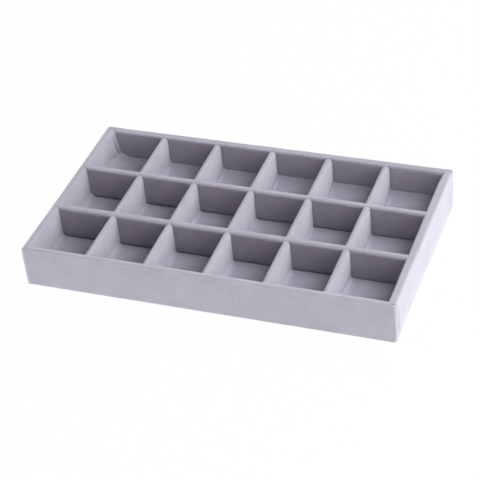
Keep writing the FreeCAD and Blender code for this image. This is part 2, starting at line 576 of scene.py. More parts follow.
@dataclass(frozen=True)
class VelvetFinish:
    """Short-pile velvet with a soft sheen from the shader, and a painted sheen that makes its colour lighter
    or darker by the angle it is seen at.

    Attributes:
        name: The material's name.
        colour: Base colour, linear.
        roughness: Surface roughness.
        specular: Level of its plain reflections.
        sheen: Strength of the pile's glow at grazing angles.
        sheen_roughness: How widely that glow spreads.
        sheen_colour: Colour of that glow, linear.
        brush_depth: How much brushed patches differ.
        mottle_depth: How much groups of tufts differ.
        pile_depth: How much single tufts differ.
        bump: Depth of the pile's relief.
        painted_shade_strength: How much darker the colour is painted at full painted shade; painted light
            makes it lighter by the same measure.
        painted_sheen_straight: Painted sheen: factor on the colour where an upright face is seen straight
            on; being below 1, it paints shade there.
        painted_sheen_slant: Painted sheen: factor on the colour where the face lies flat or is seen at a
            slant.
        painted_sheen_side: Painted sheen: factor on the colour, a painted highlight, where an upright face
            is seen from the side.
        painted_sheen_edge: Painted sheen: factor on the colour, a painted bright line, where an upright face
            is seen edge-on.
        lying_span: Upward part of the normal from which the cloth begins to lie flat for the painted sheen,
            and where it lies flat.
        flat_span: Slant, 0 to 1, over which flat cloth comes to its painted slant sheen.
        slant_span: The same for upright cloth.
        side_span: Slant over which upright cloth comes to its painted side sheen.
        edge_span: Slant over which it comes to its painted edge sheen.
    """

    name: str
    colour: Colour = (0.460, 0.437, 0.508)
    roughness: float = 0.92
    specular: float = 0.1
    sheen: float = 0.35
    sheen_roughness: float = 0.45
    sheen_colour: Colour = (0.92, 0.91, 1.0)
    brush_depth: float = 0.045
    mottle_depth: float = 0.035
    pile_depth: float = 0.10
    bump: float = 0.25 * MM
    painted_shade_strength: float = 0.28
    painted_sheen_straight: Colour = (0.84, 0.825, 0.835)
    painted_sheen_slant: Colour = (1.0, 1.01, 1.02)
    painted_sheen_side: Colour = (1.24, 1.285, 1.235)
    painted_sheen_edge: Colour = (1.35, 1.39, 1.33)
    lying_span: Span = (0.2, 0.6)
    flat_span: Span = (0.0, 0.25)
    slant_span: Span = (0.31, 0.42)
    side_span: Span = (0.40, 0.69)
    edge_span: Span = (0.69, 1.0)

    def material(self, group: bpy.types.NodeTree) -> bpy.types.Material:
        """Builds the material.

        Args:
            group: The shared pile effect.

        Returns:
            The material.
        """
        made, t, shader = new_material(self.name)
        pile = t.add(
            "ShaderNodeGroup",
            {
                "Colour": (*self.colour, 1),
                "Brush Depth": self.brush_depth,
                "Mottle Depth": self.mottle_depth,
                "Pile Depth": self.pile_depth,
            },
            node_tree=group,
        )
        shade, height = (Signal(t, pile.outputs[name]) for name in ("Colour", "Height"))
        # Painted sheen and shade: the colour is made lighter or darker by the angle it is seen at (Layer
        # Weight's facing) and by how far the face points up.
        facing = t.out("ShaderNodeLayerWeight", "Facing")
        upward = t.out("ShaderNodeAttribute", "Fac", attribute_name=UPWARD)
        lying_flat_or_painted_shade = t.remap(upward, *self.lying_span)
        upright = 1.0 - lying_flat_or_painted_shade
        flat = lying_flat_or_painted_shade * t.remap(facing, *self.flat_span)
        slanted = t.remap(facing, *self.slant_span).math("MAXIMUM", flat)
        tint = t.mix(slanted, (*self.painted_sheen_straight, 1), (*self.painted_sheen_slant, 1))
        tint = t.mix(t.remap(facing, *self.side_span) * upright, tint, (*self.painted_sheen_side, 1))
        tint = t.mix(t.remap(facing, *self.edge_span) * upright, tint, (*self.painted_sheen_edge, 1))
        with_painted_sheen = t.out("ShaderNodeVectorMath", inputs={0: shade, 1: tint}, operation="MULTIPLY")
        # Painted shade darkens the colour and painted light, below 0, lightens it.
        painted_shading = t.out("ShaderNodeAttribute", "Fac", attribute_name=PAINTED_SHADING)
        inputs = {
            "Base Color": t.tint(with_painted_sheen, 1.0 - painted_shading * self.painted_shade_strength),
            "Normal": t.out("ShaderNodeBump", "Normal", {"Distance": self.bump, "Height": height}),
            "Roughness": self.roughness,
            "Specular IOR Level": self.specular,
            "Sheen Weight": self.sheen,
            "Sheen Roughness": self.sheen_roughness,
            "Sheen Tint": (*self.sheen_colour, 1),
        }
        t.fill(shader, inputs)
        return made


@dataclass(frozen=True)
class BoardFinish:
    """Pressed board, card or foam: flecked fibres on a plain colour.

    Attributes:
        name: The material's name.
        colour: Base colour, linear.
        fleck_scale: Flecks per metre.
        fleck_depth: How much the flecks differ.
        bump: Depth of the surface's relief.
        roughness: Surface roughness.
        specular: Level of its plain reflections.
        patch_size: Size of a patch of flecks, in flecks.
        patch_span: Factors on the flecks in the weakest patches and in the strongest.
    """

    name: str
    colour: Colour
    fleck_scale: float
    fleck_depth: float
    bump: float
    roughness: float = 0.9
    specular: float = 0.2
    patch_size: float = 12.0
    patch_span: Span = (0.8, 1.2)

    def material(self) -> bpy.types.Material:
        """Builds the material.

        Returns:
            The material.
        """
        made, t, shader = new_material(self.name)
        where = t.out("ShaderNodeTexCoord", "Object")
        fine = t.noise(where, self.fleck_scale, detail=4.0)
        broad = t.noise(where, self.fleck_scale / self.patch_size, detail=2.0)
        both = fine * t.remap(broad, *NOISE_SPAN, *self.patch_span)
        shade = t.remap(both, *NOISE_SPAN, 1 - self.fleck_depth, 1 + self.fleck_depth)
        inputs = {
            "Base Color": t.tint(self.colour, shade),
            "Normal": t.out("ShaderNodeBump", "Normal", {"Distance": self.bump, "Height": fine}),
            "Roughness": self.roughness,
            "Specular IOR Level": self.specular,
        }
        t.fill(shader, inputs)
        return made


@dataclass(frozen=True)
class ProfileRow:
    """One line of a wall's velvet that runs along the wall.

    Attributes:
        inset: Distance inward from the wall's outer face.
        height: Height above the table.
        normal: Outward normal, as its inward and upward parts.
        zone: Where on the wall it lies.
    """

    inset: float
    height: float
    normal: Span
    zone: Zone


@dataclass(frozen=True)
class WrapPoint:
    """A point of a wall's velvet, before the cloth's own forms move it.

    Attributes:
        side: The wall.
        row: The line that it is on.
        along: The place along the wall.
        inset: Distance inward from the wall's outer face.
        turn: The turn round the corner.
        to_seam: Distance to the nearer seam.
    """

    side: Side
    row: ProfileRow
    along: float
    inset: float
    turn: float
    to_seam: float


@dataclass
class WallVelvet:
    """The velvet wrapped round the four walls, in four pieces that meet at the corners.

    Attributes:
        plan: The tray's measures.
        material: The velvet.
        corner_radius: Rounding of the upright outer corners.
        bend_margin: Least radius of a line's bend round a corner.
        rim_radii: Rounding of the rim's outer and inner edges that the lines are laid out on.
        front_radii: Rounding of those edges on the front wall.
        back_radii: Rounding of those edges on the back wall.
        end_radii: Rounding of those edges on the end walls.
        rim_butt: Distance from the front and back faces to the seams on the rim.
        foot_radius: Rounding where the velvet turns under.
        turn_under: How far it reaches under the tray.
        lap_spread: How far below the rim the front and back pieces lap past the corner's rounding.
        lap_fall: Depth over which the lap widens below the rim.
        end_zone: Stretch at the ends of a wall whose columns gather towards the corner.
        step: Distance between columns along a wall.
        end_columns: Number of columns in an end zone.
        upright_lines: Number of lines on the outer face, and on the lining.
        top_lines: Number of lines on the flat of the rim.
        bend_lines: Number of lines in each rounding, and underneath.
        groove: Depth and width of the groove where two pieces meet.
        inner_groove: Share of that depth on the inner half of the rim.
        fold_width: How far the loose lining in the back left corner stands off the wall at the floor.
        fold_top: How far it stands off at the rim.
        fold_length: Distance from that corner over which it comes off the wall.
        fold_power: How hollow the loose lining's run up to the corner is.
        crease_place: Distance from the corner to the top of the crease in the loose lining.
        crease_slant: Share of that distance that the crease has lost at the floor.
        crease_start: Share of the lining's height over which the crease deepens.
        crease: Depth and width of that crease.
        crease_shade: Painted shade in it.
        corner_bulge: How far the lapped corners stand out, and over which distance from a corner.
        end_swell: How far the left end swells out beside its laps.
        end_swell_place: Distance from a corner to the fullest part of that swelling.
        under_lap: How far the end pieces run on under the front and back pieces.
        ripples: Depth, wavelength and shift of the padded cloth's unevenness.
        rim_ripple: The same for what the rim has besides.
        lap_shade: Painted shade on the front piece where it laps round the corners.
        foot_shade: Painted shade on the back lining in the corners where it meets the floor and the
            dividers, and how wide.
        back_lining_lights: Painted light on the rest of the back lining, from the left column on.
        face_foot_light: Painted light on the outer faces at the foot.
        face_foot_light_height: Height over which that fades.
        front_top_shade: Painted shade on the front face just below the rim.
        front_top_reach: Height over which that fades.
        rim_painted_shading: Painted shade on each wall's rim, or painted light where it is below 0, at
            distances from the outer face.
        seam_shade: Painted shade in the seams, and how wide.
        tuck_shade: The same at the front right corner, where the velvet is tucked in.
        back_end_shade: How much more painted shade the right of the back rim has.
        back_end_span: Where along the tray that begins and where it is full.
        right_leans: How far the right wall's lining leans in at the front and at the back.
        rows: The lines that the wrap is laid out on.
        side_rows: The lines of each wall's own rim.
    """

    plan: TrayPlan
    material: bpy.types.Material
    corner_radius: float = 2.0 * MM
    bend_margin: float = 0.05 * MM
    rim_radii: Span = (2.5 * MM, 3.0 * MM)
    front_radii: Span = (2.3 * MM, 2.0 * MM)
    back_radii: Span = (1.8 * MM, 1.6 * MM)
    end_radii: Span = (1.8 * MM, 3.0 * MM)
    rim_butt: float = 4.0 * MM
    foot_radius: float = 0.5 * MM
    turn_under: float = 14.0 * MM
    lap_spread: float = 11.5 * MM
    lap_fall: float = 11.0 * MM
    end_zone: float = 18.0 * MM
    step: float = 1.5 * MM
    end_columns: int = 22
    upright_lines: int = 22
    top_lines: int = 4
    bend_lines: int = 6
    groove: Fade = Fade(0.45 * MM, 0.8 * MM)
    inner_groove: float = 0.4
    fold_width: float = 7.5 * MM
    fold_top: float = 2.0 * MM
    fold_length: float = 26.0 * MM
    fold_power: float = 1.6
    crease_place: float = 7.0 * MM
    crease_slant: float = 0.55
    crease_start: float = 1 / 3
    crease: Fade = Fade(1.2 * MM, 1.1 * MM)
    crease_shade: float = 0.40
    corner_bulge: Fade = Fade(0.3 * MM, 14.0 * MM)
    end_swell: float = 0.3 * MM
    end_swell_place: float = 18.0 * MM
    under_lap: float = 0.8 * MM
    ripples: tuple[tuple[float, float, float], ...] = (
        (0.12 * MM, 26.0 * MM, 0.0),
        (0.05 * MM, 7.0 * MM, 5.0),
    )
    rim_ripple: tuple[float, float, float] = (0.14 * MM, 15.0 * MM, 9.0)
    lap_shade: float = 0.47
    foot_shade: Fade = Fade(0.55, 1.5 * MM)
    back_lining_lights: tuple[float, ...] = (0.2, 0.25, 0.2, 0.2, 0.28, 0.45)
    face_foot_light: float = 0.26
    face_foot_light_height: float = 10.0 * MM
    front_top_shade: float = 0.18
    front_top_reach: float = 14.0 * MM
    rim_painted_shading: dict[Side, Stops] = field(
        default_factory=lambda: {
            Side.FRONT: (
                (0.0, 0.08),
                (1.2 * MM, 0.25),
                (2.5 * MM, 0.48),
                (3.0 * MM, 0.45),
                (3.9 * MM, -0.48),
                (5.3 * MM, -0.48),
                (6.6 * MM, -0.05),
                (7.5 * MM, 0.10),
            ),
            Side.RIGHT: ((0.8 * MM, -0.08), (2.2 * MM, 0.12), (3.7 * MM, 0.12), (4.5 * MM, -0.1)),
            Side.BACK: ((0.0, 0.28),),
            Side.LEFT: ((0.0, 0.0),),
        }
    )
    seam_shade: Fade = Fade(0.6, 0.8 * MM)
    tuck_shade: Fade = Fade(2.0, 0.8 * MM)
    back_end_shade: float = 0.3
    back_end_span: Span = (60.0 * MM, 110.0 * MM)
    right_leans: Span = (-0.35 * MM, 1.5 * MM)
    rows: list[ProfileRow] = field(init=False)
    side_rows: dict[Side, list[ProfileRow]] = field(init=False)

    def __post_init__(self) -> None:
        """Works out the lines of the wrap, on the plain rim and on each wall's own rim."""
        self.rows = self.profile(*self.rim_radii)
        ends = self.profile(*self.end_radii)
        self.side_rows = {
            Side.FRONT: self.profile(*self.front_radii),
            Side.RIGHT: ends,
            Side.BACK: self.profile(*self.back_radii),
            Side.LEFT: ends,
        }

    @staticmethod
    def straight(start: Span, end: Span, count: int, zone: Zone) -> list[ProfileRow]:
        """Lines on a straight stretch of the wrap, without the one at its end.

        Args:
            start: Inset and height of its start.
            end: Inset and height of its end.
            count: Number of lines.
            zone: Where on the wall it lies.

        Returns:
            The lines.
        """
        across, up = end[0] - start[0], end[1] - start[1]
        reach = math.hypot(across, up)
        normal = (-up / reach, across / reach)
        return [
            ProfileRow(start[0] + across * share, start[1] + up * share, normal, zone)
            for share in even(0, 1, count)[:-1]
        ]

    def bend(self, centre: Span, radius: float, angles: Span, zone: Zone) -> list[ProfileRow]:
        """Lines on a rounding of the wrap, without the one at its end.

        Args:
            centre: Inset and height of its centre.
            radius: Its radius.
            angles: Degrees at its start and its end.
            zone: Where on the wall it lies.

        Returns:
            The lines.
        """
        first, last = (math.radians(angle) for angle in angles)
        ways = [(math.cos(angle), math.sin(angle)) for angle in even(first, last, self.bend_lines)[:-1]]
        return [ProfileRow(centre[0] + radius * u, centre[1] + radius * v, (u, v), zone) for u, v in ways]

    def profile(self, outer: float, inner: float) -> list[ProfileRow]:
        """The lines of the wrap, from its hidden edge underneath to its hidden edge inside.

        Args:
            outer: Rounding of the rim's outer edge.
            inner: Rounding of the rim's inner edge.

        Returns:
            The lines, in order round the wall.
        """
        p, foot = self.plan, self.foot_radius
        under, top, flat_end = p.card_top, p.height, p.wall - inner
        return [
            *self.straight((self.turn_under, under), (foot, under), self.bend_lines, Zone.UNDERSIDE),
            *self.bend((foot, under + foot), foot, (-90, -180), Zone.UNDERSIDE),
            *self.straight((0, under + foot), (0, top - outer), self.upright_lines, Zone.FACE),
            *self.bend((outer, top - outer), outer, (180, 90), Zone.RIM),
            *self.straight((outer, top), (flat_end, top), self.top_lines, Zone.RIM),
            *self.bend((flat_end, top - inner), inner, (90, 0), Zone.RIM),
            *self.straight((p.wall, top - inner), (p.wall, p.base_top), self.upright_lines, Zone.LINING),
            ProfileRow(p.wall, p.base_top, (1, 0), Zone.LINING),
        ]

    def seam_depth(self, row: ProfileRow) -> float:
        """How far from the front or back outer face the seam crosses a line of an end wall.

        Args:
            row: The line.

        Returns:
            The distance.
        """
        if row.inset >= self.rim_butt:
            return row.inset
        below = self.plan.height - row.height
        spread = self.lap_spread * (1 - math.exp(-below / self.lap_fall))
        if row.zone is Zone.UNDERSIDE:
            spread *= (1 - row.inset / self.rim_butt) ** 2
        return self.rim_butt + spread

    def bend_inset(self, row: ProfileRow) -> float:
        """Distance from both outer faces to the centre of a line's bend round the corner."""
        return max(self.corner_radius, row.inset + self.bend_margin)

    def end_length(self, side: Side, row: ProfileRow) -> float:
        """Length of a line from the start of its end zone to the seam.

        Args:
            side: The wall.
            row: The line.

        Returns:
            The length.
        """
        seam = self.seam_depth(row)
        if not side.is_long:
            return self.end_zone - seam + self.under_lap
        if row.inset >= self.rim_butt:
            return self.end_zone - row.inset
        centre = self.bend_inset(row)
        arc = (centre - row.inset) * math.pi / 2
        return self.end_zone - centre + arc + max(seam - centre, 0.0)

    def end_point(self, side: Side, half: float, row: ProfileRow, run: float) -> tuple[float, float, float]:
        """A point of a line in its end zone.

        Args:
            side: The wall.
            half: Half the wall's length.
            row: The line.
            run: Distance from the start of the zone.

        Returns:
            The place along the wall, the distance inward and the turn round the corner.
        """
        centre = self.bend_inset(row)
        straight = self.end_zone - centre
        if not side.is_long or row.inset >= self.rim_butt or run <= straight:
            return half - self.end_zone + run, row.inset, 0.0
        radius = centre - row.inset
        turn = (run - straight) / radius
        if turn <= math.pi / 2:
            return half - centre + radius * math.sin(turn), centre - radius * math.cos(turn), turn
        past = run - straight - radius * math.pi / 2
        return half - row.inset, centre + past, math.pi / 2

    def line_points(self, side: Side, row: ProfileRow) -> list[WrapPoint]:
        """All points of one line of one piece.

        Args:
            side: The wall.
            row: The line.

        Returns:
            The points, in order along the wall.
        """
        half = (self.plan.length if side.is_long else self.plan.depth) / 2
        reach = self.end_length(side, row)
        runs = even(0, reach, self.end_columns)
        tail = [(*self.end_point(side, half, row, run), reach - run) for run in runs]
        middle = half - self.end_zone
        places = even(-middle, middle, round(2 * middle / self.step))[1:-1]
        body = [(along, row.inset, 0.0, reach + middle - abs(along)) for along in places]
        head = [(-along, inset, -turn, to_seam) for along, inset, turn, to_seam in reversed(tail)]
        return [WrapPoint(side, row, *values) for values in head + body + tail]

    def dip(self, at: WrapPoint) -> float:
        """How far the velvet dips beside a seam.

        Args:
            at: The point.

        Returns:
            The dip.
        """
        if at.row.zone not in (Zone.FACE, Zone.RIM):
            return 0.0
        inner = at.row.zone is Zone.RIM and at.row.inset > self.plan.wall / 2
        return self.groove.at(at.to_seam) * (self.inner_groove if inner else 1.0)

    def fallen(self, row: ProfileRow) -> float:
        """How far down the lining a line lies, from 0 at the rim to 1 at the floor."""
        start = self.plan.height - self.rim_radii[1]
        return clamped((start - row.height) / (start - self.plan.floor_top))

    def crease_at(self, row: ProfileRow, to_corner: float) -> float:
        """How deep the crease in the loose lining is.

        Args:
            row: The line.
            to_corner: Distance from the back corner.

        Returns:
            The depth.
        """
        fallen = self.fallen(row)
        off = to_corner - self.crease_place * (1 - self.crease_slant * fallen)
        return self.crease.at(off) * min(fallen / self.crease_start, 1)

    def fold_at(self, row: ProfileRow, to_corner: float) -> float:
        """How far the loose lining stands off the left wall.

        Args:
            row: The line.
            to_corner: Distance from the back corner.

        Returns:
            The distance.
        """
        inner = self.rim_radii[1]
        begun = (row.inset - self.plan.wall + inner) / inner
        share = max(1 - to_corner / self.fold_length, 0.0)
        width = begun**2 * self.fold_top + self.fallen(row) * (self.fold_width - self.fold_top)
        return width * share**self.fold_power - self.crease_at(row, to_corner)

    def off_wall(self, at: WrapPoint) -> float:
        """How far the lining stands off its wall, loose in the back left corner or leaning on the right.

        Args:
            at: The point.

        Returns:
            The distance.
        """
        p, inset = self.plan, at.row.inset
        if at.row.zone is Zone.UNDERSIDE:
            return 0.0
        if at.side is Side.LEFT and at.along <= 0 and inset > p.wall - self.rim_radii[1]:
            return self.fold_at(at.row, max(p.inner_half_depth + at.along, 0.0))
        if at.side is Side.RIGHT and inset >= p.wall / 2:
            front, back = self.right_leans
            leaning = front + (back - front) * (0.5 + at.along / p.depth)
            return leaning * min(at.to_seam / self.end_zone, 1.0)
        return 0.0

    def bulge(self, at: WrapPoint, place: Vector) -> float:
        """How far the lapped layers at the corners push the outer faces out.

        Args:
            at: The point.
            place: Where it is now.

        Returns:
            The distance outward.
        """
        if at.row.zone is Zone.LINING or at.row.inset > self.rim_butt:
            return 0.0
        to_end = self.plan.length / 2 - abs(place.x)
        to_side = max(self.plan.depth / 2 - abs(place.y), 0.0)
        bulge = self.corner_bulge.at(math.hypot(to_end, to_side))
        if place.x < 0:
            turned = math.sin(at.turn) ** 2 if at.side.is_long else 1.0
            way = to_side / self.end_swell_place
            bulge += self.end_swell * turned * way * math.exp(1 - way)
        return bulge

    def unevenness(self, row: ProfileRow, place: Vector) -> float:
        """How far the padded cloth swells out or in.

        Args:
            row: The line.
            place: The point.

        Returns:
            The distance along the normal.
        """
        layers = list(self.ripples)
        if row.zone is Zone.RIM:
            layers.append(self.rim_ripple)
        return sum(depth * ripple(place, wavelength, shift) for depth, wavelength, shift in layers)

    def rim_painted_shading_at(self, at: WrapPoint) -> float:
        """Painted shade or light on the rim, as for painted_shading_at.

        Args:
            at: The point.

        Returns:
            The crush.
        """
        # Painted bands of shade and light across the rim, more painted shade at the back rim's right end,
        # and painted shade in the seams and the tuck.
        painted_shading = between(self.rim_painted_shading[at.side], at.row.inset) * math.cos(at.turn) ** 2
        if at.side is Side.BACK:
            begin, full = self.back_end_span
            painted_shading += self.back_end_shade * clamped((-at.along - begin) / (full - begin))
        tucked = {at.side, at.side.neighbour(at.along)} == {Side.FRONT, Side.RIGHT}
        return painted_shading + (self.tuck_shade if tucked else self.seam_shade).at(at.to_seam)

    def back_lining_painted_shading_at(self, row: ProfileRow, x: float) -> float:
        """Painted shade or light on the back wall's lining, as for painted_shading_at.

        Args:
            row: The line.
            x: The place along the tray.

        Returns:
            The painted shading.
        """
        # Painted shade along the lining's foot and beside the dividers, less the painted light of its
        # column.
        starts = [start for start, _ in self.plan.column_spans()]
        starts[0] += self.fold_at(row, 0.0)
        column = max(sum(start <= x for start in starts) - 1, 0)
        above = max(row.height - self.plan.floor_top - BACK_RISE[column], 0.0)
        off = min(above, *(abs(start - x) for start in starts))
        return self.foot_shade.at(off) - self.back_lining_lights[column]

    def painted_shading_at(self, at: WrapPoint) -> float:
        """Painted shade or light on the wrap.

        Args:
            at: The point.

        Returns:
            0 for none, up to 1 for full painted shade, or less than 0 for painted light.
        """
        p, row = self.plan, at.row
        if row.zone is Zone.RIM:
            return self.rim_painted_shading_at(at)
        # On the outer faces: painted light at the foot, painted shade just below the front rim and on the
        # front piece's laps.
        if row.zone is Zone.FACE:
            raised_or_painted_light = self.face_foot_light * math.exp(-row.height / self.face_foot_light_height)
            if at.side is not Side.FRONT:
                return -raised_or_painted_light
            lapped = math.sin(at.turn) ** 2
            raised_or_painted_light -= self.front_top_shade * math.exp((row.height - p.height) / self.front_top_reach)
            return self.lap_shade * lapped - raised_or_painted_light * (1 - lapped)
        if row.zone is Zone.LINING and at.side is Side.LEFT:
            # Painted shade in the crease of the loose lining.
            deep = self.crease_at(row, max(p.inner_half_depth + at.along, 0.0)) / self.crease.strength
            return self.crease_shade * deep
        if row.zone is Zone.LINING and at.side is Side.BACK:
            return self.back_lining_painted_shading_at(row, -at.along)
        return 0.0

    def piece(self, side: Side) -> bpy.types.Object:
        """The velvet of one wall.

        Args:
            side: The wall.

        Returns:
            The finished piece.
        """
        p = self.plan
        outer = -side.inward * ((p.depth if side.is_long else p.length) / 2)
        up = Vector((0, 0, 1))
        lines: list[list[Vector]] = []
        painted_shading: list[float] = []
        for number, row in enumerate(self.rows):
            own = self.side_rows[side][number]
            line: list[Vector] = []
            for at in self.line_points(side, row):
                # The rims of two walls meet halfway between their own roundings.
                other = self.side_rows[side.neighbour(at.along)][number]
                share = 0.5 + 0.5 * min(at.to_seam / self.end_zone, 1.0)
                inset = at.inset - row.inset + share * own.inset + (1 - share) * other.inset
                inset += self.off_wall(at)
                height = share * own.height + (1 - share) * other.height
                place = outer + side.along * at.along + side.inward * inset + up * height
                way_out = side.along * math.sin(at.turn) - side.inward * math.cos(at.turn)
                normal = way_out * -row.normal[0] + up * row.normal[1]
                swell = self.unevenness(row, place) - self.dip(at)
                line.append(place + normal * swell + way_out * self.bulge(at, place))
                painted_shading.append(self.painted_shading_at(at))
            lines.append(line)
        made = cloth(f"{side.word}_wall_cloth", lines, painted_shading, p.velvet)
        pairs = zip(self.rows, self.rows[1:])
        girth = sum(math.hypot(b.inset - a.inset, b.height - a.height) for a, b in pairs)
        # The laps' width is taken on a line in the lower part of the outer face.
        lap = self.seam_depth(self.rows[len(self.rows) // 4])
        width = p.length + 2 * lap if side.is_long else p.depth - 2 * lap
        dress(made, f"{side.word}_wall_velvet", self.material)
        return made

    def build(self) -> None:
        """Makes all four pieces."""
        for side in Side:
            self.piece(side)


@dataclass
class FloorLining:
    """The velvet floor sheet with its loose edges, and the foam under it.

    Values for columns run from the left one to the right, those for rows from the front one to the back.

    Attributes:
        plan: The tray's measures.
        velvet: Finish of the sheet.
        foam: Finish of the foam.
        clearance: Room between the sheet's edges and the walls.
        crowns: Rise of the floor in the middle of a compartment, for each row.
        crown_spread: Share by which that rise differs between compartments.
        crown_pattern: Wavelength of those differences, in compartments.
        crown_power: How square the risen floor is; a high power keeps it flat nearly to the walls. On
            its left it does not fall.
        back_falls: Share of that rise that is lost at the back, for each column.
        left_curl: Radius of the curl at the left wall, for each row.
        corner_curl: Radius of that curl at the back wall.
        corner_reach: Distance from the back wall over which it grows to that radius.
        bridge_steps: Number of steps between a curl and the even grid.
        back_rise: Height where the sheet meets the back wall, for each column.
        back_slope: Slope of the sheet there, in degrees.
        side_roll: Radius of the roll against each divider's right side, from the left divider on.
        side_slope: Slope of the sheet there, in degrees.
        row_shares: Factor on that radius, for each row.
        roll_growths: How fast that radius grows towards the front of a compartment, for each row.
        roll_limit: The largest radius that it grows to.
        pinned_curl: Radius left where a divider holds the sheet down.
        curl_steps: Number of steps in a curl.
        step: Distance between grid lines.
        pinch: How far inside a divider's foot the curl ends.
        crevice: How far the sheet dips at the foot of a wall or divider, and over which distance.
        close_steps: Distances of extra grid lines from the sides of a compartment, in millimetres.
        ripple_depth: Depth of the sheet's unevenness.
        ripple_width: Wavelength of that unevenness.
        back_shades: Painted shade in the corner at the back of a compartment, and over which distance, for
            each column.
        right_shades: The same for a painted shadow at the right of a compartment, as its right-hand wall
            would cast.
        left_light: Painted light at the left of a compartment, and over which distance.
        ramp_light: The same where the sheet rises to the back wall.
        foam_softness: Share of the foam's thickness that its edges are rounded by.
    """

    plan: TrayPlan
    velvet: bpy.types.Material
    foam: bpy.types.Material
    clearance: float = 0.2 * MM
    crowns: tuple[float, ...] = (2.6 * MM, 1.2 * MM, 0.6 * MM)
    crown_spread: float = 0.2
    crown_pattern: float = 0.37
    crown_power: int = 14
    back_falls: tuple[float, ...] = (0.85, 1.0, 0.75, 0.6, 0.65, 0.35)
    left_curl: tuple[float, ...] = (5.0 * MM, 7.5 * MM, 10.0 * MM)
    corner_curl: float = 20.0 * MM
    corner_reach: float = 38.0 * MM
    bridge_steps: int = 8
    back_rise: tuple[float, ...] = BACK_RISE
    back_slope: float = 34.0
    side_roll: tuple[float, ...] = (3.0 * MM, 2.2 * MM, 1.8 * MM, 1.3 * MM, 1.3 * MM)
    side_slope: float = 90.0
    row_shares: tuple[float, ...] = (1.4, 1.2, 1.25)
    roll_growths: tuple[float, ...] = (0.18, 0.07, 0.0)
    roll_limit: float = 7.5 * MM
    pinned_curl: float = 0.3 * MM
    curl_steps: int = 9
    step: float = 1.7 * MM
    pinch: float = 0.9 * MM
    crevice: Fade = Fade(0.38 * MM, 0.9 * MM)
    close_steps: tuple[float, ...] = (0.2, 0.5, 0.9, 1.4, 2.1, 2.9)
    ripple_depth: float = 0.12 * MM
    ripple_width: float = 14.0 * MM
    back_shades: tuple[Fade, ...] = tuple(Fade(c, 1.6 * MM) for c in (0.8, 1.0, 0.7, 0.55, 0.55, 0.1))
    right_shades: tuple[Fade, ...] = tuple(Fade(c, 26.0 * MM) for c in (0.55, 0.7, 0.7, 0.7, 0.7, 0.95))
    left_light: Fade = Fade(0.45, 4.5 * MM)
    ramp_light: Fade = Fade(0.4, 16.0 * MM)
    foam_softness: float = 0.25

    def stations(self, spans: list[Span], low: float, high: float) -> list[float]:
        """Grid lines across the compartments, with close pairs inside each divider's foot.

        Args:
            spans: Clear spans of the compartments.
            low: Edge of the sheet.
            high: Opposite edge.

        Returns:
            Places of the lines.
        """
        places: list[float] = []
        for start, end in spans:
            near, far = max(start, low), min(end, high)
            places.extend(even(near, far, round((far - near) / self.step)))
            for off in self.close_steps:
                places.extend((near + off * MM, far - off * MM))
            places.append(min(end + self.pinch, high))
            places.append(max(start - self.pinch, low))
        return sorted(set(places))

    @staticmethod
    def span_at(spans: list[Span], place: float) -> int | None:
        """Number of the span that holds a place.

        Args:
            spans: Clear spans.
            place: The place.

        Returns:
            The span's number, or None under a divider.
        """
        for number, (start, end) in enumerate(spans):
            if start - TOUCH <= place <= end + TOUCH:
                return number
        return None

    @staticmethod
    def off_centre(span: Span, place: float) -> float:
        """Where in a span a place lies, from -1 at its start to 1 at its end."""
        return (2 * place - span[0] - span[1]) / (span[1] - span[0])

    @staticmethod
    def hollow(off: float, radius: float, slope: float) -> float:
        """Rise of a sheet that curves up to a slope, in degrees, against an upright face at a distance."""
        into = radius * math.sin(math.radians(slope)) - max(off, 0.0)
        return radius - math.sqrt(radius**2 - into**2) if into > 0 else 0.0

    def rise_at(self, x: float, y: float) -> float:
        """Rise of the floor over its foam.

        Args:
            x: Place along the tray.
            y: Place across the tray.

        Returns:
            The rise, which is a dip beside and under a divider.
        """
        columns, rows = self.plan.column_spans(), self.plan.row_spans()
        column, row = self.span_at(columns, x), self.span_at(rows, y)
        if column is None or row is None:
            return -self.crevice.strength
        to_right = max(self.off_centre(columns[column], x), 0.0)
        to_back = max(self.off_centre(rows[row], y), -1.0)
        fall = self.back_falls[column] if to_back > 0 else 1.0
        spread = self.crown_spread * ripple(Vector((column, row, 0)), self.crown_pattern)
        rise = self.crowns[row] * (1 + spread)
        rise *= (1 - to_right**self.crown_power) * (1 - fall * to_back**self.crown_power)
        from_front, from_back = y - rows[row][0], rows[row][1] - y
        if column > 0:
            radius = self.side_roll[column - 1] * self.row_shares[row]
            radius = min(radius + self.roll_growths[row] * from_back, self.roll_limit)
            rise += self.hollow(x - columns[column][0], radius, self.side_slope)
        to_edge = min(from_front, from_back)
        if row == len(rows) - 1:
            steep = 1 - math.cos(math.radians(self.back_slope))
            rise += self.hollow(from_back - self.clearance, self.back_rise[column] / steep, self.back_slope)
            to_edge = from_front
        return rise - self.crevice.at(max(to_edge, 0.0))

    def painted_shading_at(self, x: float, y: float) -> float:
        """Painted shade at the back and the right of a compartment, and painted light at its left and where
        the sheet rises to the back wall.

        Args:
            x: Place along the tray.
            y: Place across the tray.

        Returns:
            0 for none, up to 1 for full painted shade, or less than 0 for painted light.
        """
        *others, last = (end - y for _, end in self.plan.row_spans())
        spans = enumerate(self.plan.column_spans())
        column, (start, end) = next((number, span) for number, span in spans if span[1] > x)
        # Painted shade in the back corners and a painted shadow on the right; painted light at the left and
        # where the sheet rises to the back wall.
        painted_shading = self.back_shades[column].at(min(abs(off) for off in others))
        lying_flat_or_painted_shade = self.right_shades[column].at(end - x)
        raised_or_painted_light = max(self.left_light.at(x - start), self.ramp_light.at(last))
        return max(painted_shading, lying_flat_or_painted_shade) - raised_or_painted_light

